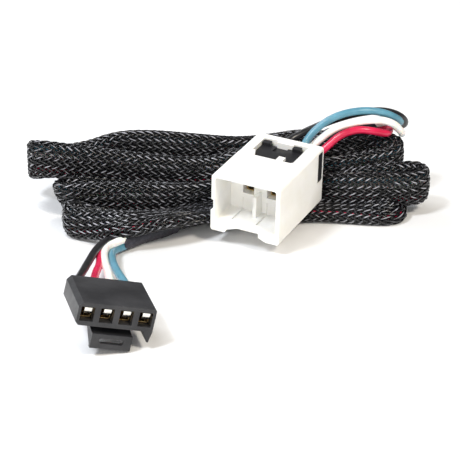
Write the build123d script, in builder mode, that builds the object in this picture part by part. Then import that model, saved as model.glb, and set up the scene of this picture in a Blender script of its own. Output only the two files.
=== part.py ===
from build123d import *
import math
import os

# Wiring adapter between a vehicle's brake-controller socket and an aftermarket brake controller.
# A pale vehicle-side plug and a dark controller-side plug are joined by four insulated wires, which
# run through one braided sleeve folded into a flat hank.
# Millimetres, +Z up. The table is Z = 0, and the origin is under the middle of the two plugs.

os.makedirs("parts", exist_ok=True)

WIRE_NAMES = ("black", "red", "white", "blue")
WIRE_DIAMETER = 2.6
COLLAR_DIAMETER = 6.8
COLLAR_GRIP = 1.0
COLLAR_LEAD = 4.0

# Vehicle plug: its own frame has X across, Y from the mouth to the wire end and Z up.
VEHICLE_PLACE = Location((15.0, 19.8, 4.8), (3.2, 2.85, -25.8), Extrinsic.XYZ)
VEHICLE_WIDTH = 26.8
VEHICLE_LENGTH = 38.0
VEHICLE_HEIGHT = 22.2
VEHICLE_WALL = 1.2
MOUTH_DEPTH = 13.0
MOUTH_FLOOR = 4.0
FOOT_RECESS = 2.8
FOOT_LEFT = -7.4
FOOT_RIGHT = 5.3
KEY_GROOVE_LOW = 7.8
KEY_GROOVE_HIGH = 12.3
KEY_GROOVE_DEPTH = 1.0
VEHICLE_COLUMN = 4.75
VEHICLE_ROW_LOW = 11.9
VEHICLE_ROW_HIGH = 15.7
VEHICLE_CELL_WIDTH = 4.4
VEHICLE_CELL_HEIGHT = 3.4
WINDOW_LEFT = -8.9
WINDOW_RIGHT = 8.6
WINDOW_FRONT = 20.6
WINDOW_BACK = 33.6
VEHICLE_WIRE_START = 32.4

# Retainer that slides sideways over the vehicle plug's terminals.
RETAINER_POCKET_FLOOR = 17.9
RETAINER_TOP = 20.6
RETAINER_GAP = 0.2
RETAINER_RIGHT = 10.0

# Controller plug: its own frame has X across, Y from the mating face to the wire end and Z up.
CONTROLLER_PLACE = Location((-26.6, -56.6, 9.05), (-1.7, 13.9, 14.7), Extrinsic.XYZ)
CONTROLLER_WIDTH = 25.4
CONTROLLER_LENGTH = 21.4
CONTROLLER_HEIGHT = 7.8
CONTROLLER_PITCH = 6.35
CONTROLLER_CELL_WIDTH = 4.4
CONTROLLER_CELL_HEIGHT = 4.9
CONTROLLER_CELL_MIDDLE = 4.0
CONTROLLER_WIRE_START = 16.0

# Latch lever under the controller plug.
LATCH_WIDTH = 13.3
LATCH_PIVOT_Y = 15.0
LATCH_PIVOT_Z = -0.95
LATCH_ROOT_RADIUS = 0.8
LATCH_BAR_TOP = -2.3
LATCH_BAR_BOTTOM = -7.3
LATCH_BAR_THICKNESS = 1.6
LATCH_EAR_WIDTH = 1.3
LATCH_SIDE_GAP = 0.15

# Hank of the sleeve: a lower bundle on the table, an upper bundle on it, and one wide bight.
HANK_LOWER_TOP = 12.2
HANK_UPPER_TOP = 24.8
HANK_LOWER_OUTLINE = (
    (-52.0, 29.0),
    (-44.0, 27.8),
    (-10.0, 33.5),
    (3.0, 37.5),
    (44.0, 40.0),
    (72.0, 39.5),
    (75.0, 47.0),
    (70.0, 61.0),
    (46.0, 66.0),
    (30.0, 77.0),
    (5.0, 76.0),
    (-20.0, 62.0),
    (-52.0, 60.0),
    (-54.5, 44.0),
)
HANK_UPPER_OUTLINE = (
    (-64.5, 58.0),
    (-60.0, 55.5),
    (-20.0, 55.0),
    (3.0, 60.0),
    (20.0, 67.5),
    (42.0, 66.0),
    (56.0, 59.5),
    (72.0, 54.0),
    (74.0, 62.0),
    (68.0, 71.0),
    (44.0, 75.0),
    (30.0, 78.0),
    (4.0, 77.5),
    (-18.0, 72.5),
    (-60.0, 72.0),
    (-64.5, 69.0),
)
BIGHT_LOW = 6.0
BIGHT_HIGH = 17.6
PLUG_CLEARANCE = 0.8

# Routes of the taped collars, and of the exposed wires between their plug and their collar.
VEHICLE_COLLAR_ROUTE = (
    (65.0, 72.0, 28.4),
    (56.0, 71.4, 26.4),
    (46.5, 70.0, 22.8),
)
CONTROLLER_COLLAR_ROUTE = (
    (-29.0, 18.6, 3.5),
    (-19.0, 24.5, 3.5),
    (-8.0, 33.0, 3.5),
)
VEHICLE_WIRE_ROUTES = {
    "black": (
        (30.0, 62.0, 25.4),
        (35.0, 65.4, 30.0),
        (44.5, 66.6, 34.4),
        (56.0, 66.6, 36.8),
        (66.0, 67.4, 36.6),
        (72.6, 71.8, 34.4),
        (75.2, 76.8, 28.2),
    ),
    "red": (
        (39.6, 55.4, 20.4),
        (43.5, 57.6, 24.2),
        (49.5, 59.6, 27.6),
        (57.0, 61.4, 29.2),
        (65.0, 62.0, 29.0),
        (70.0, 65.4, 29.6),
    ),
    "white": (
        (31.4, 59.6, 19.0),
        (38.5, 61.6, 23.4),
        (46.5, 61.4, 29.4),
        (56.0, 61.6, 33.2),
        (66.5, 61.6, 33.0),
        (73.4, 63.8, 29.4),
        (74.4, 68.0, 26.9),
    ),
    "blue": (
        (38.8, 57.4, 25.4),
        (42.4, 60.4, 30.0),
        (50.0, 62.0, 35.0),
        (60.6, 62.8, 37.6),
        (69.4, 64.4, 36.0),
        (74.0, 66.6, 33.2),
        (75.2, 70.4, 30.4),
    ),
}
CONTROLLER_WIRE_ROUTES = {
    "black": (
        (-43.4, -19.0, 11.2),
        (-41.8, -5.0, 8.0),
        (-39.4, 8.0, 5.6),
    ),
    "red": (
        (-36.8, -17.6, 10.8),
        (-37.4, -4.0, 6.8),
        (-37.0, 8.0, 3.0),
    ),
    "white": (
        (-31.4, -17.4, 9.8),
        (-33.8, -4.0, 7.9),
        (-34.3, 8.0, 5.6),
    ),
    "blue": (
        (-26.6, -17.2, 8.2),
        (-30.6, -4.0, 5.4),
        (-31.6, 7.0, 2.4),
    ),
}


def save(piece, name, place=Location()):
    """Label a finished piece, put it in its place and write it."""
    piece.part.label = name
    export_step(piece.part.moved(place), f"parts/{name}.step")


def placed(place, x, y, z):
    """A point of a plug's own frame, as a point of the whole model."""
    return Vector(*(place * Location((x, y, z))).position)


def corner_radii(points):
    """The largest tangent arc for each corner of a route: 0.45 of its shorter run."""
    radii = []
    for before, corner, after in zip(points, points[1:], points[2:]):
        run_in = corner - before
        run_out = after - corner
        half_turn = math.radians(run_in.get_angle(run_out)) / 2
        radii.append(0.45 * min(run_in.length, run_out.length) / math.tan(half_turn))
    return radii


def report_cord(name, piece, line, section_area, radii):
    """Print a cord's length and arcs, and how its volume compares with section times length."""
    ratio = piece.part.volume / (section_area * line.length)
    rounded = [round(radius, 1) for radius in radii]
    print(f"{name}: length {line.length:.1f}, volume ratio {ratio:.3f}, radii {rounded}")


def make_tube(name, points, diameter):
    """A plain round cord along straight runs joined by tangent arcs."""
    radii = corner_radii(points)
    with BuildPart() as tube:
        with BuildLine() as route:
            FilletPolyline(*points, radius=radii)
        path = route.wire()
        with BuildSketch(Plane(origin=path @ 0, z_dir=path % 0)):
            Circle(diameter / 2)
        sweep(path=path)
    report_cord(name, tube, path, math.pi * diameter**2 / 4, radii)
    save(tube, name)


def collar_place(route):
    """The frame of a collar's open end: Z points out of it, X lies level."""
    end, inner = Vector(*route[0]), Vector(*route[1])
    outward = (end - inner).normalized()
    return Plane(origin=end, x_dir=Vector(0, 0, 1).cross(outward), z_dir=outward)


def make_wire(plug, name, start, exit_point, route, collar, seat):
    """One exposed wire, from its crimp in the plug to its seat in the collar."""
    across, up = seat
    spread = WIRE_DIAMETER / 2 + 0.06
    points = [start, exit_point]
    points += [Vector(*point) for point in route]
    points.append(collar.from_local_coords(Vector(across * spread, up * spread, COLLAR_LEAD)))
    points.append(collar.from_local_coords(Vector(across * spread, up * spread, -COLLAR_GRIP)))
    make_tube(f"{plug}_wire_{name}", points, WIRE_DIAMETER)


# Vehicle plug housing: a hooded shell with a floor, feet, key groove, four cells and a window.
half_width = VEHICLE_WIDTH / 2
mouth_top = VEHICLE_HEIGHT - VEHICLE_WALL
with BuildPart() as vehicle_housing:
    with BuildSketch(Plane.XZ):
        with BuildLine():
            Polyline(
                (-half_width, 0),
                (-half_width, KEY_GROOVE_LOW),
                (-half_width + KEY_GROOVE_DEPTH, KEY_GROOVE_LOW + 0.4),
                (-half_width + KEY_GROOVE_DEPTH, KEY_GROOVE_HIGH - 0.4),
                (-half_width + 0.2, KEY_GROOVE_HIGH),
                (-half_width + 0.2, VEHICLE_HEIGHT),
                (half_width, VEHICLE_HEIGHT),
                (half_width, 0),
                (FOOT_RIGHT + 3.0, 0),
                (FOOT_RIGHT, FOOT_RECESS - 1.6),
                (FOOT_RIGHT, FOOT_RECESS),
                (FOOT_LEFT + 4.6, FOOT_RECESS),
                (FOOT_LEFT, FOOT_RECESS - 1.6),
                (FOOT_LEFT, 0),
                close=True,
            )
        make_face()
    extrude(amount=-VEHICLE_LENGTH)
    long_edges = vehicle_housing.edges().filter_by(Axis.Y)
    fillet(long_edges.group_by(Axis.Z)[-1], 1.0)
    fillet(vehicle_housing.edges().filter_by(Axis.Y).group_by(Axis.Z)[0], 0.9)
    # The mouth that takes the vehicle's own plug, with a drained floor under each column.
    with BuildSketch(Plane.XZ):
        with Locations((0, (MOUTH_FLOOR + mouth_top) / 2)):
            RectangleRounded(VEHICLE_WIDTH - 2 * VEHICLE_WALL - 0.8, mouth_top - MOUTH_FLOOR, 0.8)
    extrude(amount=-MOUTH_DEPTH, mode=Mode.SUBTRACT)
    with BuildSketch(Plane.XY.offset(MOUTH_FLOOR - 0.7)):
        with Locations((-VEHICLE_COLUMN, 8.6), (VEHICLE_COLUMN, 8.6)):
            Rectangle(VEHICLE_CELL_WIDTH, 9.8)
    extrude(amount=5.2, mode=Mode.SUBTRACT)
    # Cells for the four terminals, open from the mouth's back wall to the wire end.
    with BuildSketch(Plane.XZ.offset(-MOUTH_DEPTH)):
        with Locations((0, (VEHICLE_ROW_LOW + VEHICLE_ROW_HIGH) / 2)):
            with GridLocations(2 * VEHICLE_COLUMN, VEHICLE_ROW_HIGH - VEHICLE_ROW_LOW, 2, 2):
                Rectangle(VEHICLE_CELL_WIDTH, VEHICLE_CELL_HEIGHT)
    extrude(amount=-(VEHICLE_LENGTH - MOUTH_DEPTH), mode=Mode.SUBTRACT)
    # A guide rib between the two columns.
    with BuildSketch(Plane.XY.offset(MOUTH_FLOOR - 0.2)):
        with Locations((0, MOUTH_DEPTH - 2.4)):
            Rectangle(1.4, 5.2)
    extrude(amount=8.4)
    # Pocket of the retainer, its way out at the right near the wire end, and the window above it.
    with BuildSketch(Plane.XY.offset(RETAINER_POCKET_FLOOR)):
        with Locations((half_width - VEHICLE_WALL, (WINDOW_FRONT + WINDOW_BACK) / 2)):
            pocket_width = half_width - VEHICLE_WALL - WINDOW_LEFT
            Rectangle(pocket_width, WINDOW_BACK - WINDOW_FRONT, align=(Align.MAX, Align.CENTER))
        with Locations((-6.1, WINDOW_BACK + 0.7), (5.9, WINDOW_BACK + 0.7)):
            Rectangle(5.6, 1.6)
        with Locations((half_width + 0.5, 37.4)):
            Rectangle(5.9, 4.0, align=(Align.MAX, Align.MAX))
    extrude(amount=mouth_top - RETAINER_POCKET_FLOOR, mode=Mode.SUBTRACT)
    with BuildSketch(Plane.XY.offset(mouth_top)):
        with BuildLine():
            Polyline(
                (WINDOW_LEFT, WINDOW_FRONT + 4.0),
                (WINDOW_LEFT + 1.2, WINDOW_FRONT + 4.0),
                (WINDOW_LEFT + 2.6, WINDOW_FRONT),
                (2.0, WINDOW_FRONT),
                (2.0, WINDOW_FRONT + 3.2),
                (4.6, WINDOW_FRONT + 3.2),
                (4.6, WINDOW_FRONT),
                (WINDOW_RIGHT - 0.8, WINDOW_FRONT),
                (WINDOW_RIGHT, WINDOW_FRONT + 0.8),
                (WINDOW_RIGHT, WINDOW_BACK),
                (WINDOW_LEFT, WINDOW_BACK),
                close=True,
            )
        make_face()
        with Locations((-6.1, WINDOW_BACK + 0.7), (5.9, WINDOW_BACK + 0.7)):
            Rectangle(5.6, 1.6)
    extrude(amount=VEHICLE_WALL + 0.2, mode=Mode.SUBTRACT)
    # Slot of the retainer's end tab, down the right flank near the wire end.
    with BuildSketch(Plane.XY.offset(9.3)):
        with Locations((half_width + 0.5, 37.4)):
            Rectangle(1.7, 4.0, align=(Align.MAX, Align.MAX))
    extrude(amount=RETAINER_POCKET_FLOOR - 9.0, mode=Mode.SUBTRACT)
    # Shallow relief along the upper left flank behind the hood, and a band round the wire end.
    with BuildSketch(Plane.XY.offset(KEY_GROOVE_HIGH + 1.0)):
        with Locations((-half_width - 0.4, VEHICLE_LENGTH + 0.5)):
            Rectangle(1.2, 17.5, align=(Align.MIN, Align.MAX))
    extrude(amount=VEHICLE_HEIGHT, mode=Mode.SUBTRACT)
save(vehicle_housing, "vehicle_housing", VEHICLE_PLACE)

# Retainer: a plate across the cells with two finger lugs and a tab at its right end.
plate_floor = RETAINER_POCKET_FLOOR + RETAINER_GAP
with BuildPart() as vehicle_retainer:
    with BuildSketch(Plane.XY.offset(plate_floor)):
        with BuildLine():
            Polyline(
                (WINDOW_LEFT + RETAINER_GAP, WINDOW_FRONT + RETAINER_GAP),
                (RETAINER_RIGHT, WINDOW_FRONT + RETAINER_GAP),
                (RETAINER_RIGHT, WINDOW_BACK + RETAINER_GAP),
                (half_width - 0.1, WINDOW_BACK + RETAINER_GAP),
                (half_width - 0.1, 37.2),
                (RETAINER_RIGHT - 1.8, 37.2),
                (RETAINER_RIGHT - 1.8, WINDOW_BACK - RETAINER_GAP),
                (WINDOW_LEFT + RETAINER_GAP, WINDOW_BACK - RETAINER_GAP),
                close=True,
            )
        make_face()
        with Locations((-7.1, WINDOW_BACK + 0.4), (4.9, WINDOW_BACK + 0.4)):
            Rectangle(3.2, 1.6)
    extrude(amount=RETAINER_TOP - plate_floor)
    with BuildSketch(Plane.XY.offset(RETAINER_TOP)):
        with Locations((-7.1, WINDOW_BACK - 0.3), (4.9, WINDOW_BACK - 0.3)):
            RectangleRounded(3.2, 2.6, 0.5)
    extrude(amount=1.2)
    with BuildSketch(Plane.XY.offset(9.5)):
        with Locations((half_width - 0.1, 37.2)):
            Rectangle(0.9, 3.6, align=(Align.MAX, Align.MAX))
    extrude(amount=plate_floor - 9.5)
    # Grooves across the plate where it crosses the two columns of cells.
    with BuildSketch(Plane.XY.offset(RETAINER_TOP - 0.6)):
        with Locations((-0.9, WINDOW_BACK - 2.2)):
            Rectangle(4.6, 4.4)
    extrude(amount=1.0, mode=Mode.SUBTRACT)
save(vehicle_retainer, "vehicle_retainer", VEHICLE_PLACE)

# Vehicle terminals: a box receptacle, a neck and a crimped barrel on each wire.
VEHICLE_SEATS = {
    "black": (-VEHICLE_COLUMN, VEHICLE_ROW_HIGH),
    "blue": (VEHICLE_COLUMN, VEHICLE_ROW_HIGH),
    "white": (-VEHICLE_COLUMN, VEHICLE_ROW_LOW),
    "red": (VEHICLE_COLUMN, VEHICLE_ROW_LOW),
}
VEHICLE_BOX_FRONT = MOUTH_DEPTH + 2.6
VEHICLE_BOX_LENGTH = 9.0
VEHICLE_CRIMP_START = 27.0
VEHICLE_CRIMP_LENGTH = 7.5
for wire_name in WIRE_NAMES:
    column, row = VEHICLE_SEATS[wire_name]
    with BuildPart() as terminal:
        with BuildSketch(Plane.XZ.offset(-VEHICLE_BOX_FRONT)):
            with Locations((column, row)):
                RectangleRounded(3.6, 2.8, 0.3)
                Rectangle(2.9, 2.1, mode=Mode.SUBTRACT)
        extrude(amount=-VEHICLE_BOX_LENGTH)
        neck_start = VEHICLE_BOX_FRONT + VEHICLE_BOX_LENGTH - 1.0
        with BuildSketch(Plane.XY.offset(row - 1.4)):
            with Locations((column, neck_start)):
                neck_length = VEHICLE_CRIMP_START + 1.0 - neck_start
                Rectangle(2.2, neck_length, align=(Align.CENTER, Align.MIN))
        extrude(amount=0.4)
        with BuildSketch(Plane.XZ.offset(-VEHICLE_CRIMP_START)):
            with Locations((column, row)):
                Circle(WIRE_DIAMETER / 2 + 0.35)
        extrude(amount=-VEHICLE_CRIMP_LENGTH)
        with BuildSketch(Plane.XZ.offset(-VEHICLE_CRIMP_START)):
            with Locations((column, row)):
                Circle(WIRE_DIAMETER / 2)
        extrude(amount=-VEHICLE_CRIMP_LENGTH, mode=Mode.SUBTRACT)
    save(terminal, f"vehicle_terminal_{wire_name}", VEHICLE_PLACE)

# Controller plug housing: a flat four-cell body with a bevelled corner, a rib and latch ears.
controller_half = CONTROLLER_WIDTH / 2
ear_inner = LATCH_WIDTH / 2 + LATCH_SIDE_GAP
with BuildPart() as controller_housing:
    with BuildSketch(Plane.XZ):
        with BuildLine():
            Polyline(
                (-controller_half, 0.9),
                (-controller_half, CONTROLLER_HEIGHT - 1.6),
                (-controller_half + 1.3, CONTROLLER_HEIGHT),
                (controller_half - 0.4, CONTROLLER_HEIGHT),
                (controller_half, CONTROLLER_HEIGHT - 0.4),
                (controller_half, 0),
                (-controller_half + 0.9, 0),
                close=True,
            )
        make_face()
    extrude(amount=-CONTROLLER_LENGTH)
    with BuildSketch(Plane.XZ):
        with Locations((0, CONTROLLER_CELL_MIDDLE)):
            with GridLocations(CONTROLLER_PITCH, 1, 4, 1):
                Rectangle(CONTROLLER_CELL_WIDTH, CONTROLLER_CELL_HEIGHT)
    extrude(amount=-CONTROLLER_LENGTH, mode=Mode.SUBTRACT)
    # Polarising rib under the right end.
    with BuildSketch(Plane.XZ):
        with BuildLine():
            Polyline(
                (controller_half - 3.3, 0),
                (controller_half - 1.3, -3.6),
                (controller_half - 0.7, -3.6),
                (controller_half, 0),
                (controller_half, 0.5),
                (controller_half - 3.3, 0.5),
                close=True,
            )
        make_face()
    extrude(amount=-9.0)
    # Two ears that carry the latch lever's root.
    with BuildSketch(Plane.XY):
        ear_middle = ear_inner + LATCH_EAR_WIDTH / 2
        with Locations((-ear_middle, LATCH_PIVOT_Y), (ear_middle, LATCH_PIVOT_Y)):
            Rectangle(LATCH_EAR_WIDTH, 3.4)
    extrude(amount=LATCH_PIVOT_Z - 1.1)
save(controller_housing, "controller_housing", CONTROLLER_PLACE)

# Latch lever: a sloping blade from its root to a hanging bar with a slot, and two side cheeks.
bar_front = -0.3
bar_back = bar_front + LATCH_BAR_THICKNESS
with BuildPart() as controller_latch:
    with BuildSketch(Plane.YZ.offset(-LATCH_WIDTH / 2)):
        with BuildLine():
            Polyline(
                (LATCH_PIVOT_Y, LATCH_PIVOT_Z + 0.6),
                (LATCH_PIVOT_Y, LATCH_PIVOT_Z - 0.6),
                (bar_back, LATCH_BAR_TOP - 1.2),
                (bar_back, LATCH_BAR_BOTTOM),
                (bar_front, LATCH_BAR_BOTTOM),
                (bar_front, LATCH_BAR_TOP),
                (bar_back, LATCH_BAR_TOP),
                close=True,
            )
        make_face()
        with Locations((LATCH_PIVOT_Y, LATCH_PIVOT_Z)):
            Circle(LATCH_ROOT_RADIUS)
    extrude(amount=LATCH_WIDTH)
    with BuildSketch(Plane.XZ):
        with Locations((0, LATCH_BAR_BOTTOM + 2.6)):
            SlotOverall(8.2, 1.7)
    extrude(amount=-4.0, both=True, mode=Mode.SUBTRACT)
    for side in (-1, 1):
        with BuildSketch(Plane.YZ.offset(side * (LATCH_WIDTH / 2 - 0.5))):
            with BuildLine():
                Polyline(
                    (bar_back, LATCH_BAR_TOP - 0.6),
                    (bar_back, LATCH_BAR_BOTTOM + 0.6),
                    (LATCH_PIVOT_Y - 4.0, LATCH_PIVOT_Z - 0.6),
                    close=True,
                )
            make_face()
        extrude(amount=0.5, both=True)
save(controller_latch, "controller_latch", CONTROLLER_PLACE)

# Controller terminals: a box with a contact tongue at its roof, a neck and a crimped barrel.
CONTROLLER_BOX_FRONT = 3.1
CONTROLLER_BOX_LENGTH = 6.4
TONGUE_FRONT = 1.0
TONGUE_BACK = 7.4
CONTROLLER_CRIMP_START = 11.6
CONTROLLER_CRIMP_LENGTH = 5.6
for index, wire_name in enumerate(WIRE_NAMES):
    cell_x = (index - 1.5) * CONTROLLER_PITCH
    with BuildPart() as terminal:
        with BuildSketch(Plane.XZ.offset(-CONTROLLER_BOX_FRONT)):
            with Locations((cell_x, CONTROLLER_CELL_MIDDLE)):
                RectangleRounded(3.9, 4.4, 0.35)
                Rectangle(3.2, 3.7, mode=Mode.SUBTRACT)
        extrude(amount=-CONTROLLER_BOX_LENGTH)
        with BuildSketch(Plane.XY.offset(CONTROLLER_CELL_MIDDLE - 2.2)):
            with Locations((cell_x, CONTROLLER_BOX_FRONT + CONTROLLER_BOX_LENGTH - 1.0)):
                Rectangle(2.4, 4.2, align=(Align.CENTER, Align.MIN))
        extrude(amount=0.9)
        with BuildSketch(Plane.XZ.offset(-CONTROLLER_CRIMP_START)):
            with Locations((cell_x, CONTROLLER_CELL_MIDDLE)):
                Circle(WIRE_DIAMETER / 2 + 0.35)
        extrude(amount=-CONTROLLER_CRIMP_LENGTH)
        with BuildSketch(Plane.XZ.offset(-CONTROLLER_CRIMP_START)):
            with Locations((cell_x, CONTROLLER_CELL_MIDDLE)):
                Circle(WIRE_DIAMETER / 2)
        extrude(amount=-CONTROLLER_CRIMP_LENGTH, mode=Mode.SUBTRACT)
    save(terminal, f"controller_terminal_{wire_name}", CONTROLLER_PLACE)
    # Tinned tongue that presses the mating blade, in the box's upper half.
    with BuildPart() as tongue:
        with BuildSketch(Plane.YZ.offset(cell_x - 0.9)):
            with BuildLine():
                top = CONTROLLER_CELL_MIDDLE + 1.85
                Spline(
                    (TONGUE_FRONT, top),
                    (TONGUE_FRONT + 0.3, CONTROLLER_CELL_MIDDLE + 0.3),
                    (TONGUE_FRONT + 1.5, CONTROLLER_CELL_MIDDLE - 0.9),
                    (TONGUE_BACK, CONTROLLER_CELL_MIDDLE + 1.1),
                )
                Polyline((TONGUE_BACK, CONTROLLER_CELL_MIDDLE + 1.1), (TONGUE_BACK, top), (TONGUE_FRONT, top))
            make_face()
        extrude(amount=2.4)
    save(tongue, f"controller_tongue_{wire_name}", CONTROLLER_PLACE)

# Exposed wires and the two taped collars.
vehicle_collar = collar_place(VEHICLE_COLLAR_ROUTE)
controller_collar = collar_place(CONTROLLER_COLLAR_ROUTE)
VEHICLE_COLLAR_SEATS = {"red": (-1, 1), "white": (-1, -1), "blue": (1, 1), "black": (1, -1)}
CONTROLLER_COLLAR_SEATS = {"black": (-1, 1), "red": (-1, -1), "white": (1, 1), "blue": (1, -1)}
for index, wire_name in enumerate(WIRE_NAMES):
    column, row = VEHICLE_SEATS[wire_name]
    make_wire(
        "vehicle",
        wire_name,
        placed(VEHICLE_PLACE, column, VEHICLE_WIRE_START, row),
        placed(VEHICLE_PLACE, column, VEHICLE_LENGTH + 1.5, row),
        VEHICLE_WIRE_ROUTES[wire_name],
        vehicle_collar,
        VEHICLE_COLLAR_SEATS[wire_name],
    )
    cell_x = (index - 1.5) * CONTROLLER_PITCH
    make_wire(
        "controller",
        wire_name,
        placed(CONTROLLER_PLACE, cell_x, CONTROLLER_WIRE_START, CONTROLLER_CELL_MIDDLE),
        placed(CONTROLLER_PLACE, cell_x, CONTROLLER_LENGTH + 3.0, CONTROLLER_CELL_MIDDLE),
        CONTROLLER_WIRE_ROUTES[wire_name],
        controller_collar,
        CONTROLLER_COLLAR_SEATS[wire_name],
    )
make_tube("vehicle_collar", [Vector(*point) for point in VEHICLE_COLLAR_ROUTE], COLLAR_DIAMETER)
make_tube("controller_collar", [Vector(*point) for point in CONTROLLER_COLLAR_ROUTE], COLLAR_DIAMETER)

# Sleeve hank: the outer shape of the folded sleeve, hollowed where the vehicle plug lies on it.
with BuildPart() as plug_space:
    with BuildSketch(Plane.XZ.offset(PLUG_CLEARANCE)):
        with Locations((0, -PLUG_CLEARANCE)):
            plug_width = VEHICLE_WIDTH + 2 * PLUG_CLEARANCE
            Rectangle(plug_width, 3 * VEHICLE_HEIGHT, align=(Align.CENTER, Align.MIN))
    extrude(amount=-(VEHICLE_LENGTH + 3 * PLUG_CLEARANCE))
plug_cut = plug_space.part.moved(VEHICLE_PLACE)
with BuildPart() as sleeve_hank:
    with BuildSketch(Plane.XY):
        with BuildLine():
            Polyline(*HANK_LOWER_OUTLINE, close=True)
        make_face()
    extrude(amount=HANK_LOWER_TOP)
    with BuildSketch(Plane.XY.offset(HANK_LOWER_TOP - 0.2)):
        with BuildLine():
            Polyline(*HANK_UPPER_OUTLINE, close=True)
        make_face()
    extrude(amount=HANK_UPPER_TOP - HANK_LOWER_TOP + 0.2)
    with BuildSketch(Plane.XY.offset(BIGHT_LOW)):
        with Locations((66.0, 53.6)):
            SlotOverall(34.0, 13.2)
    extrude(amount=BIGHT_HIGH - BIGHT_LOW)
    add(plug_cut, mode=Mode.SUBTRACT)
save(sleeve_hank, "sleeve_hank")
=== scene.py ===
import math

import bpy
import numpy as np
from mathutils import Matrix, Vector


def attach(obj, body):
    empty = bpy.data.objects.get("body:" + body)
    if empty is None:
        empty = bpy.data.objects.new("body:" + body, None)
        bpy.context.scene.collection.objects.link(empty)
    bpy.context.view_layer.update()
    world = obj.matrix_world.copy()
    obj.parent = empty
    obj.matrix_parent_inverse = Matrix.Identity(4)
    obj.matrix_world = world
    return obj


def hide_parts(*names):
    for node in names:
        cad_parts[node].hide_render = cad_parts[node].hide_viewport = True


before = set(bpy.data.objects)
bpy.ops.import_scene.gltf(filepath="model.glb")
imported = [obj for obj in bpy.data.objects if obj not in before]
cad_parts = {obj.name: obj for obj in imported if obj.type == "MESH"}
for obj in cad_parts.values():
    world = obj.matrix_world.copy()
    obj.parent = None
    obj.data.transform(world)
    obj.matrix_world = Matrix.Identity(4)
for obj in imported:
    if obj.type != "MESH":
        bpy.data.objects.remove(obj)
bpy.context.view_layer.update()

MM = 0.001
WIRE = 2.6
BODY = "harness"


# ---------------------------------------------------------------- camera, floor and light
CAMERA_PLACE = (0.0100, -0.5581, 0.2772)
CAMERA_TILT = 65.0
CAMERA_LENS = 140.87
MIDDLE = (0.0, 0.03, 0.0)
FLOOR_HALF = 4.0
FLOOR_DROP = 0.0002
WORLD_STRENGTH = 0.24


def link(obj):
    bpy.context.scene.collection.objects.link(obj)
    return obj


camera_data = bpy.data.cameras.new("camera")
camera_data.sensor_width = 36.0
camera_data.lens = CAMERA_LENS
camera_data.clip_start = 0.01
camera = link(bpy.data.objects.new("camera", camera_data))
camera.location = CAMERA_PLACE
camera.rotation_euler = (math.radians(CAMERA_TILT), 0.0, 0.0)
bpy.context.scene.camera = camera
bpy.context.scene.view_settings.view_transform = "Standard"


def soft_light(name, place, target, size, power, colour):
    """A rectangular lamp that faces the target."""
    data = bpy.data.lights.new(name, "AREA")
    data.shape = "RECTANGLE"
    data.size, data.size_y = size
    data.energy = power
    data.color = colour
    lamp = link(bpy.data.objects.new(name, data))
    lamp.location = place
    facing = Vector(target) - lamp.location
    lamp.rotation_euler = facing.to_track_quat("-Z", "Y").to_euler()


soft_light("key", (-0.40, -0.34, 0.80), MIDDLE, (0.20, 0.20), 6.0, (0.90, 0.94, 1.0))
soft_light("warm", (0.42, -0.42, 0.66), MIDDLE, (0.18, 0.18), 4.6, (1.0, 0.92, 0.80))
soft_light("back", (-0.42, 0.56, 0.66), MIDDLE, (0.40, 0.25), 4.6, (0.95, 0.97, 1.0))
soft_light("fill", (-0.20, -0.85, 0.42), (0.0, 0.0, 0.0), (0.5, 0.4), 2.6, (1.0, 0.99, 0.97))

world = bpy.data.worlds.new("studio")
bpy.context.scene.world = world
world.use_nodes = True
world.node_tree.nodes["Background"].inputs["Color"].default_value = (1.0, 1.0, 1.0, 1.0)
world.node_tree.nodes["Background"].inputs["Strength"].default_value = WORLD_STRENGTH


# ---------------------------------------------------------------- materials
def principled(made):
    return made.node_tree.nodes["Principled BSDF"]


def shader(name, colour, roughness, **settings):
    """A Principled material with constants on the shader's own sockets."""
    made = bpy.data.materials.new(name)
    made.use_nodes = True
    bsdf = principled(made)
    bsdf.inputs["Base Color"].default_value = (*colour, 1.0)
    bsdf.inputs["Roughness"].default_value = roughness
    for socket, value in settings.items():
        bsdf.inputs[socket.replace("_", " ")].default_value = value
    return made


def add_node(made, kind, **values):
    """A new node, with each value set on its socket of that name, or else on the node."""
    node = made.node_tree.nodes.new(kind)
    for key, value in values.items():
        if key in node.inputs:
            node.inputs[key].default_value = value
        else:
            setattr(node, key, value)
    return node


def place_of(made, kind="Object"):
    """Texture coordinates that stay with the object."""
    found = made.node_tree.nodes.get("place") or add_node(made, "ShaderNodeTexCoord")
    found.name = "place"
    return found.outputs[kind]


def join(made, output, target):
    made.node_tree.links.new(output, target)


def noise_of(made, scale, detail, coordinates=None):
    noise = add_node(made, "ShaderNodeTexNoise", Scale=scale, Detail=detail)
    join(made, coordinates or place_of(made), noise.inputs["Vector"])
    return noise.outputs["Fac"]


def ramp_of(made, value, stops):
    """A colour ramp between two stops, each a position and a colour."""
    ramp = add_node(made, "ShaderNodeValToRGB")
    for element, (position, colour) in zip(ramp.color_ramp.elements, stops):
        element.position = position
        element.color = (*colour, 1.0)
    join(made, value, ramp.inputs["Fac"])
    return ramp.outputs["Color"]


def range_of(made, value, **ends):
    """A value stretched from one range to another, clamped to the second."""
    span = add_node(made, "ShaderNodeMapRange")
    for end, number in ends.items():
        span.inputs[end.replace("_", " ")].default_value = number
    join(made, value, span.inputs["Value"])
    return span.outputs["Result"]


def maths(made, operation, *values):
    node = add_node(made, "ShaderNodeMath", operation=operation)
    for socket, value in zip(node.inputs, values):
        join(made, value, socket)
    return node.outputs["Value"]


def wave_of(made, direction, scale):
    """Plain sine bands across the UV map."""
    wave = add_node(made, "ShaderNodeTexWave", Scale=scale, Distortion=0.0, Detail=0.0)
    wave.bands_direction = direction
    wave.wave_profile = "SIN"
    join(made, place_of(made, "UV"), wave.inputs["Vector"])
    return wave.outputs["Fac"]


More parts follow.
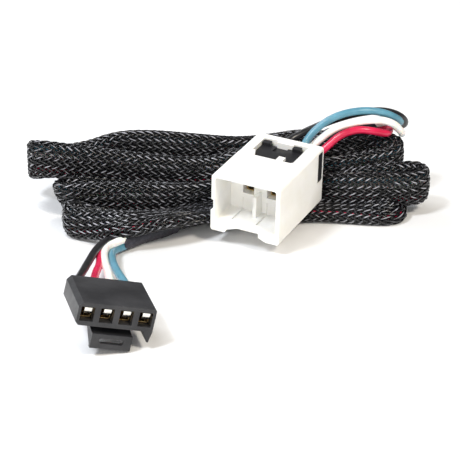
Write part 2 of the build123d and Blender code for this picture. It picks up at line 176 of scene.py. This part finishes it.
def vary_colour(made, scale, low, high):
    """Base colour that wanders between two near colours."""
    colour = ramp_of(made, noise_of(made, scale, 4.0), ((0.35, low), (0.65, high)))
    join(made, colour, principled(made).inputs["Base Color"])


def vary_roughness(made, scale, low, high):
    roughness = range_of(made, noise_of(made, scale, 3.0), To_Min=low, To_Max=high)
    join(made, roughness, principled(made).inputs["Roughness"])


def add_bump(made, height, strength, distance):
    """Stack a bump on the ones that are already there."""
    normal = principled(made).inputs["Normal"]
    bump = add_node(made, "ShaderNodeBump", Strength=strength, Distance=distance)
    join(made, height, bump.inputs["Height"])
    if normal.is_linked:
        join(made, normal.links[0].from_socket, bump.inputs["Normal"])
    join(made, bump.outputs["Normal"], normal)


def grain(made, scale, strength, distance, detail=6.0):
    add_bump(made, noise_of(made, scale, detail), strength, distance)


def ridges(made, direction, scale, strength, distance):
    """Fine parallel ridges along or across the UV map."""
    add_bump(made, wave_of(made, direction, scale), strength, distance)


def plastic(name, colours, roughness, grain_scale, grain_depth, **settings):
    """Moulded plastic: a fine grain over a faint unevenness."""
    low, high = colours
    made = shader(name, high, roughness[0], **settings)
    vary_colour(made, 90.0, low, high)
    vary_roughness(made, 240.0, *roughness)
    grain(made, grain_scale, 0.5, grain_depth)
    grain(made, 160.0, 0.25, 0.0004, 2.0)
    return made


nylon = plastic(
    "white_nylon", ((0.86, 0.845, 0.80), (0.93, 0.925, 0.90)), (0.34, 0.52), 2600.0, 0.00006,
    Subsurface_Weight=0.25, Subsurface_Scale=0.002, Subsurface_Radius=(1.0, 0.9, 0.7), IOR=1.5,
)
retainer_plastic = plastic(
    "grey_plastic", ((0.010, 0.010, 0.012), (0.020, 0.020, 0.022)), (0.30, 0.46), 3000.0, 0.00005,
    IOR=1.5, Specular_IOR_Level=0.3,
)
black_plastic = plastic(
    "black_plastic", ((0.012, 0.012, 0.014), (0.032, 0.032, 0.035)), (0.32, 0.54), 3600.0, 0.00012,
    IOR=1.5,
)


def metal(name, low, high, roughness, run):
    """Stamped sheet: rolling lines along it, a slightly uneven bright surface."""
    made = shader(name, high, roughness[0], Metallic=1.0)
    vary_colour(made, 500.0, low, high)
    vary_roughness(made, 900.0, *roughness)
    stretch = add_node(made, "ShaderNodeMapping")
    stretch.inputs["Scale"].default_value = run
    join(made, place_of(made), stretch.inputs["Vector"])
    add_bump(made, noise_of(made, 1.0, 3.0, stretch.outputs["Vector"]), 0.35, 0.00008)
    return made


brass = metal(
    "brass", (0.62, 0.40, 0.16), (0.85, 0.64, 0.33), (0.20, 0.38), (3000.0, 500.0, 3000.0)
)
tin = metal(
    "tin", (0.72, 0.70, 0.64), (0.95, 0.94, 0.90), (0.10, 0.26), (2600.0, 400.0, 2600.0)
)


def insulation(name, low, high, roughness, subsurface=0.0):
    """Extruded vinyl: a faint unevenness and a soft gloss."""
    made = shader(name, high, roughness, IOR=1.52)
    if subsurface:
        principled(made).inputs["Subsurface Weight"].default_value = subsurface
        principled(made).inputs["Subsurface Scale"].default_value = 0.001
    vary_colour(made, 220.0, low, high)
    grain(made, 1500.0, 0.25, 0.00005)
    grain(made, 330.0, 0.3, 0.00025, 2.0)
    return made


vinyl = {
    "black": insulation("black_insulation", (0.006, 0.006, 0.007), (0.014, 0.014, 0.016), 0.28),
    "red": insulation("red_insulation", (0.52, 0.008, 0.050), (0.68, 0.014, 0.080), 0.24, 0.1),
    "white": insulation("white_insulation", (0.84, 0.82, 0.77), (0.93, 0.92, 0.88), 0.30, 0.2),
    "blue": insulation("blue_insulation", (0.075, 0.23, 0.31), (0.11, 0.30, 0.40), 0.32, 0.1),
}

# One unit of the braid's UV map is one bundle across, and one float over and under along it.
# A wave texture makes one band in math.pi / 10 of its scale.
ONE_BAND = math.pi / 10
# U is this much larger on the bundles that wind the other way.
OTHER_HAND = 2.0
FILAMENTS_ACROSS = 1.27

filament = shader("braid", (0.010, 0.010, 0.011), 0.28, IOR=1.5, Specular_IOR_Level=0.45)
vary_roughness(filament, 1200.0, 0.18, 0.32)
# Painted highlight and painted shade: the outer middle of each float is painted grey where a glint
# would fall; the sunken ends and edges stay black as painted shade.
painted_float_highlight = maths(
    filament, "MULTIPLY", wave_of(filament, "Y", ONE_BAND), wave_of(filament, "X", ONE_BAND)
)
# Noise makes the painted highlight uneven from float to float.
uneven_painted_highlight = maths(filament, "MULTIPLY", painted_float_highlight, noise_of(filament, 420.0, 2.0))
# The two hands of the braid take turns at carrying the brighter painted highlight, as if one hand
# caught the light more than the other.
parts = add_node(filament, "ShaderNodeSeparateXYZ")
join(filament, place_of(filament, "UV"), parts.inputs["Vector"])
hand_of = range_of(filament, parts.outputs["X"], From_Min=1.4, From_Max=1.6)
sway = range_of(filament, noise_of(filament, 26.0, 1.0), From_Min=0.42, From_Max=0.58)
apart = maths(filament, "ABSOLUTE", maths(filament, "SUBTRACT", hand_of, sway))
highlight_hand_weight = range_of(filament, apart, To_Min=0.52, To_Max=1.0)
painted_highlight_picked = maths(filament, "MULTIPLY", uneven_painted_highlight, highlight_hand_weight)
# Painted highlight and painted shade colours: black at the float ends and edges, a bluish grey in
# the middles of the floats.
shade = ramp_of(filament, painted_highlight_picked, ((0.27, (0.004, 0.004, 0.005)), (0.46, (0.34, 0.34, 0.375))))
join(filament, shade, principled(filament).inputs["Base Color"])
ridges(filament, "X", FILAMENTS_ACROSS, 0.3, 0.00008)
grain(filament, 2500.0, 0.2, 0.00004)

tape = shader("tape", (0.022, 0.022, 0.032), 0.55, IOR=1.5)
vary_colour(tape, 600.0, (0.013, 0.013, 0.021), (0.030, 0.030, 0.043))
vary_roughness(tape, 500.0, 0.45, 0.68)
ridges(tape, "X", 60.0, 0.25, 0.0001)
ridges(tape, "Y", 60.0, 0.25, 0.0001)
grain(tape, 700.0, 0.4, 0.0002)

table = shader("table", (0.90, 0.90, 0.90), 0.6)
vary_colour(table, 3.0, (0.895, 0.895, 0.895), (0.905, 0.905, 0.905))
floor_mesh = bpy.data.meshes.new("floor")
corners = [(x * FLOOR_HALF, y * FLOOR_HALF, 0) for x, y in ((-1, -1), (1, -1), (1, 1), (-1, 1))]
floor_mesh.from_pydata(corners, [], [(0, 1, 2, 3)])
floor_mesh.materials.append(table)
floor = link(bpy.data.objects.new("floor", floor_mesh))
floor.location.z = -FLOOR_DROP


# ---------------------------------------------------------------- splines and tubes
def spline_curve(name, points):
    """A smooth NURBS line with these control points."""
    curve = bpy.data.curves.new(name, "CURVE")
    curve.dimensions = "3D"
    curve.resolution_u = 24
    line = curve.splines.new("NURBS")
    line.points.add(len(points) - 1)
    for point, place in zip(line.points, points):
        point.co = (*[v * MM for v in place], 1.0)
    line.order_u = 3
    line.use_endpoint_u = True
    return curve


def read_line(points):
    """The points of the NURBS line, read back from Blender."""
    curve = spline_curve("route", points)
    bare = bpy.data.objects.new("route", curve)
    mesh = bpy.data.meshes.new_from_object(bare)
    line = np.array([v.co for v in mesh.vertices], float) / MM
    bpy.data.meshes.remove(mesh)
    bpy.data.curves.remove(curve)
    return line


def along(line):
    """How far along the line each of its points is."""
    return np.concatenate([[0.0], np.cumsum(np.linalg.norm(np.diff(line, axis=0), axis=1))])


def at_steps(line, values, step):
    """A line and the values on it, at even steps of its own length."""
    far = along(line)
    keep = np.concatenate([[True], np.diff(far) > 1e-6])
    far, line, values = far[keep], line[keep], values[keep]
    spots = np.linspace(0.0, far[-1], max(2, math.ceil(far[-1] / step) + 1))

    def pick(columns):
        return np.stack([np.interp(spots, far, c) for c in columns.T], axis=1)

    return spots, pick(line), pick(values)


def unit(v):
    return v / np.maximum(np.linalg.norm(v, axis=1, keepdims=True), 1e-9)


def level_frame(line):
    """Tangent, level normal and upward normal at each point of a mostly level line."""
    tangent = unit(np.gradient(line, axis=0))
    side = unit(np.cross([0.0, 0.0, 1.0], tangent))
    return tangent, side, np.cross(tangent, side)


def finish_mesh(name, vertices, faces, material, uv=None):
    mesh = bpy.data.meshes.new(name)
    mesh.from_pydata((np.asarray(vertices) * MM).tolist(), [], faces)
    if uv is not None:
        layer = mesh.uv_layers.new(name="UVMap")
        index = np.zeros(len(mesh.loops), np.int32)
        mesh.loops.foreach_get("vertex_index", index)
        layer.data.foreach_set("uv", np.asarray(uv, np.float32)[index].ravel())
    mesh.materials.append(material)
    mesh.validate()
    mesh.polygons.foreach_set("use_smooth", [True] * len(mesh.polygons))
    return link(bpy.data.objects.new(name, mesh))


def grid_faces(rings, sides, start=0):
    """Quads between consecutive closed rings of vertices."""
    faces = []
    for ring in range(rings - 1):
        low, high = start + ring * sides, start + (ring + 1) * sides
        for side in range(sides):
            after = (side + 1) % sides
            faces.append((low + side, low + after, high + after, high + side))
    return faces


def first_cap(sides, start=0):
    return tuple(range(start + sides - 1, start - 1, -1))


def last_cap(rings, sides, start=0):
    last = start + (rings - 1) * sides
    return tuple(range(last, last + sides))


# ---------------------------------------------------------------- the exposed wires
EXPOSED_WIRE = 2.8
WIRE_NAMES = ("black", "red", "white", "blue")
COLLAR_ROUTES = {
    "vehicle": ((65.0, 73.2, 26.4), (56.0, 72.6, 24.6), (46.5, 71.0, 21.4)),
    "controller": ((-29.0, 18.6, 3.5), (-20.5, 26.4, 3.5), (-10.5, 35.4, 3.5)),
}
WIRE_ROUTES = {
    "vehicle": {
        "black": ((31.2, 62.0, 24.5), (37.6, 65.0, 26.9), (46.9, 66.6, 30.6), (56.1, 66.8, 33.6),
                  (65.2, 67.2, 34.8), (71.4, 68.4, 33.2), (75.4, 70.8, 29.8), (76.0, 74.0, 26.4),
                  (73.4, 75.8, 25.0)),
        "red": ((41.0, 55.4, 20.4), (45.5, 57.2, 24.0), (50.6, 58.6, 28.4), (56.9, 59.4, 30.3),
                (62.8, 60.0, 29.4), (68.0, 62.4, 27.2), (69.9, 66.8, 26.8)),
        "white": ((37.4, 58.3, 20.6), (42.4, 60.2, 25.2), (48.8, 61.0, 30.2), (57.0, 61.2, 32.6),
                  (65.0, 61.4, 33.4), (70.8, 62.4, 31.4), (74.0, 64.6, 27.0), (74.6, 68.4, 24.8),
                  (73.3, 71.8, 25.7)),
        "blue": ((37.0, 57.8, 24.6), (41.8, 60.6, 30.2), (49.2, 62.4, 34.6), (58.4, 63.4, 36.3),
                 (66.6, 65.0, 34.9), (71.8, 66.6, 32.0), (74.2, 70.0, 28.9), (73.3, 73.4, 28.0)),
    },
    "controller": {
        "black": ((-39.6, -21.0, 10.4), (-37.8, -10.0, 10.0), (-36.4, 4.0, 7.6),
                  (-33.6, 14.0, 6.3)),
        "red": ((-35.1, -19.0, 9.6), (-34.2, -8.0, 7.9), (-35.2, 3.0, 6.4), (-33.2, 12.0, 4.6)),
        "white": ((-30.7, -17.4, 9.1), (-33.2, -5.0, 7.9), (-33.8, 8.0, 5.9)),
        "blue": ((-27.1, -17.2, 8.3), (-30.0, -5.0, 6.4), (-31.4, 6.0, 4.9)),
    },
}
# Each plug's own frame: where its origin stands, and its turn about X, Y and Z in degrees.
PLUG_PLACES = {
    "vehicle": ((15.0, 19.8, 4.8), (3.2, 2.85, -25.8)),
    "controller": ((-26.6, -56.6, 9.05), (-1.7, 13.9, 14.7)),
}
# In the plug's frame: the wire's place across and up, then where it starts and where it is out.
WIRE_STARTS = {
    "vehicle": {
        "black": (-4.75, 15.7), "blue": (4.75, 15.7), "white": (-4.75, 11.9), "red": (4.75, 11.9),
    },
    "controller": {
        "black": (-9.525, 4.0), "red": (-3.175, 4.0), "white": (3.175, 4.0), "blue": (9.525, 4.0),
    },
}
WIRE_RUNS = {"vehicle": (32.4, 39.5), "controller": (16.0, 22.6)}
# Which corner of the collar's mouth each wire takes: level, then up.
COLLAR_SEATS = {
    "vehicle": {"red": (-1, -1), "white": (-1, 1), "blue": (1, 1), "black": (1, -1)},
    "controller": {"black": (-1, 1), "red": (-1, -1), "white": (1, 1), "blue": (1, -1)},
}
SEAT_SPREAD = WIRE / 2 + 0.06
COLLAR_LEAD = 4.0
COLLAR_GRIP = 1.0


def plug_matrix(plug):
    place, turn = PLUG_PLACES[plug]
    around = [Matrix.Rotation(math.radians(a), 4, axis) for a, axis in zip(turn, "XYZ")]
    return Matrix.Translation(place) @ around[2] @ around[1] @ around[0]


def collar_point(plug, seat, outward_by):
    """A point beside a collar's axis, this far out of its open end."""
    end, inner = Vector(COLLAR_ROUTES[plug][0]), Vector(COLLAR_ROUTES[plug][1])
    outward = (end - inner).normalized()
    level = Vector((0, 0, 1)).cross(outward).normalized()
    up = outward.cross(level)
    return end + level * seat[0] * SEAT_SPREAD + up * seat[1] * SEAT_SPREAD + outward * outward_by


def wire_points(plug, name):
    matrix = plug_matrix(plug)
    across, row = WIRE_STARTS[plug][name]
    seat = COLLAR_SEATS[plug][name]
    points = [matrix @ Vector((across, run, row)) for run in WIRE_RUNS[plug]]
    points += [Vector(p) for p in WIRE_ROUTES[plug][name]]
    points += [collar_point(plug, seat, COLLAR_LEAD), collar_point(plug, seat, -COLLAR_GRIP)]
    return points


for plug in ("vehicle", "controller"):
    for name in WIRE_NAMES:
        points = wire_points(plug, name)
        curve = spline_curve(f"{plug}_lead_{name}", points)
        curve.bevel_depth = EXPOSED_WIRE / 2 * MM
        curve.bevel_resolution = 6
        curve.use_fill_caps = True
        curve.materials.append(vinyl[name])
        lead = link(bpy.data.objects.new(f"{plug}_lead_{name}", curve))
        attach(lead, BODY)
        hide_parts(f"{plug}_wire_{name}")
        length = along(read_line(points))[-1] * MM


# ---------------------------------------------------------------- the sleeve
# Each point: x, y, z of the middle, then lean in degrees, width and thickness of the flat sleeve.
SLEEVE = (
    (51.0, 71.9, 22.9, 0, 6.2, 6.0), (45.5, 71.0, 21.2, 0, 6.6, 6.2),
    (37.0, 75.0, 19.4, 0, 9.6, 5.6), (27.0, 75.6, 16.6, 0, 11.0, 5.0),
    (13.0, 73.4, 15.8, 0, 11.2, 5.2), (-3.0, 71.2, 18.0, 0, 11.4, 5.4),
    (-19.0, 70.4, 19.8, 0, 11.6, 5.4), (-32.0, 70.0, 19.6, 0, 11.8, 5.2),
    (-44.0, 69.8, 14.6, 0, 12.4, 5.0), (-63.3, 70.6, 11.9, 0, 13.4, 4.8),
    (-63.3, 60.0, 19.0, 0, 14.4, 4.8), (-48.0, 60.0, 16.7, 0, 14.4, 5.0),
    (-33.0, 60.4, 15.4, 0, 12.6, 5.4), (-16.0, 61.2, 13.2, 0, 11.6, 5.4),
    (2.0, 63.6, 11.4, 0, 11.2, 5.2), (14.0, 66.4, 14.6, 0, 11.0, 5.0),
    (26.0, 68.6, 16.6, 0, 11.0, 5.0), (37.0, 69.5, 15.8, 0, 11.0, 4.8),
    (46.0, 66.8, 17.2, 0, 11.2, 4.8), (57.0, 67.6, 18.0, 0, 12.2, 4.8),
    (72.6, 70.8, 18.4, 0, 12.8, 4.8), (72.6, 62.4, 16.0, 0, 12.8, 4.8),
    (60.0, 61.8, 14.0, 0, 12.2, 5.0), (48.0, 61.6, 12.4, 0, 11.8, 4.8),
    (37.0, 65.2, 8.4, 0, 11.4, 4.8), (27.0, 72.6, 5.9, 0, 11.2, 4.8),
    (16.0, 72.4, 5.0, 35, 11.2, 4.8), (6.0, 66.2, 3.0, 80, 11.6, 4.6),
    (-4.0, 61.4, 3.4, 70, 11.6, 4.8), (-16.0, 57.4, 5.2, 25, 11.6, 5.0),
    (-36.0, 56.0, 5.9, 0, 11.6, 5.0), (-51.6, 56.4, 6.4, -26, 12.4, 4.8),
    (-51.6, 47.6, 7.6, -26, 12.8, 4.8), (-38.0, 47.6, 8.2, 0, 12.0, 5.2),
    (-20.0, 48.6, 7.4, 0, 11.8, 5.4), (-6.0, 51.0, 6.4, 0, 11.4, 5.2),
    (4.0, 55.6, 5.8, 0, 11.2, 5.0), (13.0, 64.6, 5.7, 0, 11.2, 4.8),
    (22.0, 68.2, 5.7, 0, 11.2, 4.8), (34.0, 64.6, 6.0, 0, 11.4, 4.8),
    (48.0, 56.8, 7.2, 0, 12.0, 4.8), (62.0, 57.0, 10.8, 0, 12.8, 4.8),
    (81.4, 59.2, 11.6, 0, 13.4, 4.8), (81.4, 49.2, 10.8, 0, 13.6, 4.8),
    (64.0, 48.4, 11.0, 0, 13.2, 5.0), (50.0, 50.4, 10.2, 0, 12.6, 5.0),
    (39.0, 57.0, 7.6, 0, 12.0, 4.8), (27.0, 62.4, 6.0, 0, 11.6, 4.8),
    (15.0, 62.6, 5.8, 0, 11.4, 4.8), (7.0, 52.4, 3.2, 80, 10.2, 4.2),
    (-5.0, 45.4, 2.3, 90, 8.8, 4.3), (-18.0, 40.6, 2.7, 86, 8.4, 5.0),
    (-35.0, 39.8, 3.2, 50, 8.8, 5.4), (-48.2, 40.6, 5.4, 0, 10.8, 5.2),
    (-48.2, 30.6, 5.8, 0, 11.8, 4.8), (-37.0, 27.4, 6.4, 28, 11.6, 4.8),
    (-28.0, 20.8, 8.9, 62, 11.6, 4.6), (-18.0, 23.4, 9.5, 88, 11.6, 4.4),
    (-8.0, 27.0, 8.8, 102, 11.6, 4.2), (1.0, 35.4, 5.8, 108, 11.2, 4.0),
    (8.5, 40.0, 2.7, 96, 11.0, 3.9), (16.0, 42.2, 2.4, 90, 10.8, 3.9),
    (26.0, 43.4, 2.4, 90, 10.8, 4.0), (37.0, 46.6, 2.6, 88, 10.8, 4.0),
    (49.0, 46.4, 2.8, 82, 11.0, 4.2), (61.0, 44.6, 3.4, 68, 11.6, 4.4),
    (70.6, 43.8, 4.6, 46, 12.0, 4.8), (70.6, 54.6, 4.0, 64, 12.0, 4.6),
    (60.0, 55.4, 2.8, 84, 11.6, 4.2), (46.0, 56.6, 2.4, 90, 11.0, 4.0),
    (32.0, 54.8, 2.4, 90, 10.8, 4.0), (14.0, 51.8, 2.4, 90, 10.4, 4.0),
    (4.0, 46.2, 2.3, 90, 8.8, 4.1), (-4.0, 41.0, 2.6, 90, 7.6, 4.6),
    (-11.4, 34.6, 3.5, 90, 6.6, 6.0), (-15.8, 30.6, 3.5, 90, 6.2, 6.0),
)
CARRIERS = 20
BRAID_PITCH = 58.0
RIBBON_WIDTH = 1.05
RIBBON_THICK = 0.46
WEAVE_LIFT = 0.24
RING_STEP = 0.6
PIECES = 4
PULL_IN = 0.45
FACE_CROWN = 0.35

sleeve_line = read_line([p[:3] for p in SLEEVE])
sleeve_shape = read_line([p[3:] for p in SLEEVE])
sleeve_far, sleeve_line, sleeve_shape = at_steps(sleeve_line, sleeve_shape, RING_STEP)
_, level, upward = level_frame(sleeve_line)
lean = np.radians(sleeve_shape[:, 0:1])
WIDE = upward * np.cos(lean) + level * np.sin(lean)
THIN = level * np.cos(lean) - upward * np.sin(lean)
half_wide, half_thin = sleeve_shape[:, 1] / 2, sleeve_shape[:, 2] / 2


def on_sleeve(turn, lift):
    """One point per ring, at a share of the way round the flat sleeve, and its outward normal."""
    radius = half_thin - PULL_IN
    flat = half_wide - half_thin
    edge = math.pi * radius
    walk = (turn % 1.0) * (4 * flat + 2 * edge)
    # Half of the way round mirrors the other half, so only the first is worked out.
    half = 2 * flat + edge
    mirrored = walk >= half
    walk = np.where(mirrored, walk - half, walk)
    # From the middle of one face to its edge, round that, and back along the other face.
    first = walk < flat
    last = walk > flat + edge
    on_face = first | last
    angle = np.clip((walk - flat) / np.maximum(radius, 1e-6), 0, math.pi)
    position = np.where(first, walk, np.where(last, flat - (walk - flat - edge), flat))
    face = np.where(last, -1.0, 1.0)
    swell = FACE_CROWN * (1 - (position / np.maximum(flat, 1e-6)) ** 2)
    sign = np.where(mirrored, -1.0, 1.0)
    wide = sign * np.where(on_face, position, flat + radius * np.sin(angle))
    thin = sign * np.where(on_face, face * (radius + swell), radius * np.cos(angle))
    normal_wide = sign * np.where(on_face, 0.0, np.sin(angle))
    normal_thin = sign * np.where(on_face, face, np.cos(angle))
    normal = normal_wide[:, None] * WIDE + normal_thin[:, None] * THIN
    spot = sleeve_line + wide[:, None] * WIDE + thin[:, None] * THIN + normal * lift[:, None]
    return spot, normal


def carrier(index, hand):
    """The middle line and outward normals of one flat bundle of filaments in the braid."""
    turn = index / CARRIERS + hand * sleeve_far / BRAID_PITCH
    # Over two, under two: the height follows the number of crossings passed. The other hand's
    # start is shifted so that it is under wherever this one is over.
    crossings = hand * 2 * index + 2 * CARRIERS * sleeve_far / BRAID_PITCH
    phase = crossings * math.pi / 2 + (0 if hand > 0 else 1.5 * math.pi)
    lift = WEAVE_LIFT * np.clip(1.6 * np.sin(phase + math.pi / 4), -1, 1)
    # One unit of this is one float over and one under, with the middle of the outer float at 0.5.
    weave = phase / (2 * math.pi) + 0.375
    return *on_sleeve(turn, lift), weave


# The section of a bundle: left edge, crowned top, right edge and underside.
ACROSS = (-1.0, -0.42, 0.42, 1.0, 0.0)
HEIGHT = (-0.3, 1.0, 1.0, -0.3, -1.0)
RING_U = np.array([0.0, 0.3, 0.7, 1.0, 0.5])
SIDES = len(ACROSS)

# The bundles spread and draw together slowly along the sleeve, so the gaps open and close.
spread = 0.90 + 0.10 * np.sin(sleeve_far / 19.0 + 0.6) * np.sin(sleeve_far / 7.3)
breadth = RIBBON_WIDTH / 2 * spread


def ribbon(index, hand):
    """The rings of one bundle, its place in the weave at each ring, and its U across."""
    middle, normal, weave = carrier(index, hand)
    run = unit(np.gradient(middle, axis=0))
    side = unit(np.cross(normal, run)) * breadth[:, None]
    edges = [middle + side * a + normal * (h * RIBBON_THICK / 2) for a, h in zip(ACROSS, HEIGHT)]
    return np.stack(edges, axis=1), weave, RING_U + (0.0 if hand > 0 else OTHER_HAND)


ribbons = [ribbon(i, hand) for hand in (1, -1) for i in range(CARRIERS)]
rings = len(sleeve_line)
cuts = [round(k * (rings - 1) / PIECES) for k in range(PIECES + 1)]


def braid_piece(piece):
    """One stretch of the braid, with its bundles capped at the sleeve's own two ends."""
    first, last = cuts[piece], cuts[piece + 1]
    count = last + 1 - first
    vertices, faces, uv = [], [], []
    for number, (whole, weave, ring_u) in enumerate(ribbons):
        start = number * count * SIDES
        vertices.append(whole[first : last + 1].reshape(-1, 3))
        faces += grid_faces(count, SIDES, start)
        if piece == 0:
            faces.append(first_cap(SIDES, start))
        if piece == PIECES - 1:
            faces.append(last_cap(count, SIDES, start))
        weave_v = np.repeat(weave[first : last + 1], SIDES)
        uv.append(np.stack([np.tile(ring_u, count), weave_v], axis=1))
    made = finish_mesh(
        f"sleeve_braid_{piece + 1}", np.concatenate(vertices), faces, filament, np.concatenate(uv)
    )
    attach(made, BODY)
    return made


braids = [braid_piece(piece) for piece in range(PIECES)]


# The four wires lie side by side across the flat sleeve, and stagger where it is narrow.
INNER_ORDER = ("red", "black", "white", "blue")
INNER_SIDES = 8
INNER_RADIUS = WIRE / 2 * 0.84
# Thicker parts of the sleeve than this half thickness leave the wires room to lean on one face.
FILLED_HALF = 2.22
LOOSE_LENGTH = 23.0
LOOSE_PHASES = (-0.8, 1.9, 3.8, 1.8)

wall = RIBBON_THICK / 2 + WEAVE_LIFT + PULL_IN + 0.2
room = np.maximum(half_wide - wall - WIRE / 2 - 0.4, 0.3)
gap = 2 * room / 3
front = np.where(THIN[:, 1] > 0, -1.0, 1.0)


def inner_wire(place, name):
    share = (place - 1.5) / 1.5
    stagger = np.sqrt(np.maximum(WIRE**2 - gap**2, 0.0)) / 2 * (1 if place % 2 else -1)
    # They come and go at the front face, where their colours show between the bundles.
    loose = np.maximum(half_thin - FILLED_HALF, 0.0) * front
    loose = loose * (0.5 + 0.5 * np.sin(sleeve_far / LOOSE_LENGTH + LOOSE_PHASES[place]))
    middle = sleeve_line + (room * share)[:, None] * WIDE + (stagger * 0.8 + loose)[:, None] * THIN
    run = unit(np.gradient(middle, axis=0))
    side = unit(np.cross(run, WIDE))
    top = np.cross(side, run)
    angles = [2 * math.pi * k / INNER_SIDES for k in range(INNER_SIDES)]
    around = [INNER_RADIUS * (math.cos(a) * side + math.sin(a) * top) for a in angles]
    tube = np.stack([middle + out for out in around], axis=1)
    faces = grid_faces(rings, INNER_SIDES)
    faces += [first_cap(INNER_SIDES), last_cap(rings, INNER_SIDES)]
    made = finish_mesh(f"inner_wire_{name}", tube.reshape(-1, 3), faces, vinyl[name])
    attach(made, BODY)
    return made


inner = [inner_wire(place, name) for place, name in enumerate(INNER_ORDER)]


# ---------------------------------------------------------------- the taped collars
TAPE_PITCH = 6.5
TAPE_STEP = 0.16
COLLAR_RADIUS = 3.4
COLLAR_SIDES = 48
COLLAR_STEP = 0.35
SLEEVE_END_RADIUS = 3.95
END_ROUNDING = 0.7


def make_collar(plug):
    """Tape wound over the sleeve's end and the wires, in overlapping turns."""
    line = read_line(COLLAR_ROUTES[plug])
    far, line, _ = at_steps(line, line, COLLAR_STEP)
    tangent, side, up = level_frame(line)
    count = len(line)
    # It widens to cover the sleeve's end, and is drawn in at both of its own ends.
    ease = np.clip((far / far[-1] - 0.35) / 0.45, 0, 1)
    ease_curve = ease * ease * (3 - 2 * ease)
    base = COLLAR_RADIUS - 0.12 + (SLEEVE_END_RADIUS - COLLAR_RADIUS) * ease_curve
    base = base - 0.45 * np.clip(1 - far / END_ROUNDING, 0, 1) ** 2
    base = base - 0.5 * np.clip(1 - (far[-1] - far) / END_ROUNDING, 0, 1) ** 2
    # The tape's edge, the wires under it, and small creases.
    angles = np.arange(COLLAR_SIDES) * 2 * math.pi / COLLAR_SIDES
    angle, far_up = angles[None, :], far[:, None]
    turn = angle / (2 * math.pi)
    wound = (far_up / TAPE_PITCH - turn) % 1.0
    lobes = 0.10 * np.cos(4 * angle + 0.5) * (1 - ease[:, None])
    crease = 0.05 * np.sin(9 * angle + far_up * 1.3) * np.sin(far_up * 2.1 + 3 * angle)
    radius = base[:, None] + TAPE_STEP * (1 - wound) ** 0.7 + lobes + crease
    spots = (
        line[:, None, :]
        + radius[:, :, None] * np.cos(angles)[None, :, None] * side[:, None, :]
        + radius[:, :, None] * np.sin(angles)[None, :, None] * up[:, None, :]
    )
    uv = np.stack([np.tile(turn[0] * 3.0, count), np.repeat(far / 7.0, COLLAR_SIDES)], axis=1)
    # Both ends turn in and close a little way inside.
    faces = grid_faces(count, COLLAR_SIDES)
    blocks, uvs = [spots.reshape(-1, 3)], [uv]
    offset = count * COLLAR_SIDES
    for ring, inward in ((0, tangent[0]), (count - 1, -tangent[-1])):
        ring_start = ring * COLLAR_SIDES
        step = -1 if ring == 0 else 1
        for inset, depth in ((0.86, 0.1), (0.80, 0.9)):
            blocks.append(line[ring] + (spots[ring] - line[ring]) * inset + inward * depth)
            uvs.append(uv[ring_start : ring_start + COLLAR_SIDES])
        for a, b in ((ring_start, offset), (offset, offset + COLLAR_SIDES)):
            for k in range(COLLAR_SIDES):
                after = (k + 1) % COLLAR_SIDES
                faces.append((a + k, a + after, b + after, b + k)[::step])
        faces.append(tuple(range(offset + COLLAR_SIDES, offset + 2 * COLLAR_SIDES))[::step])
        offset += 2 * COLLAR_SIDES
    made = finish_mesh(
        f"{plug}_taped_collar", np.concatenate(blocks), faces, tape, np.concatenate(uvs)
    )
    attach(made, BODY)
    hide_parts(f"{plug}_collar")
    return made


collars = [make_collar("vehicle"), make_collar("controller")]

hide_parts("sleeve_hank")


# ---------------------------------------------------------------- the plugs' materials
NODE_MATERIALS = {
    "vehicle_housing": nylon,
    "vehicle_retainer": retainer_plastic,
    "controller_housing": black_plastic,
    "controller_latch": black_plastic,
}
for name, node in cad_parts.items():
    found = NODE_MATERIALS.get(name)
    if "terminal" in name:
        found = brass
    if "tongue" in name:
        found = tin
    if found:
        node.data.materials.clear()
        node.data.materials.append(found)

bpy.context.view_layer.update()
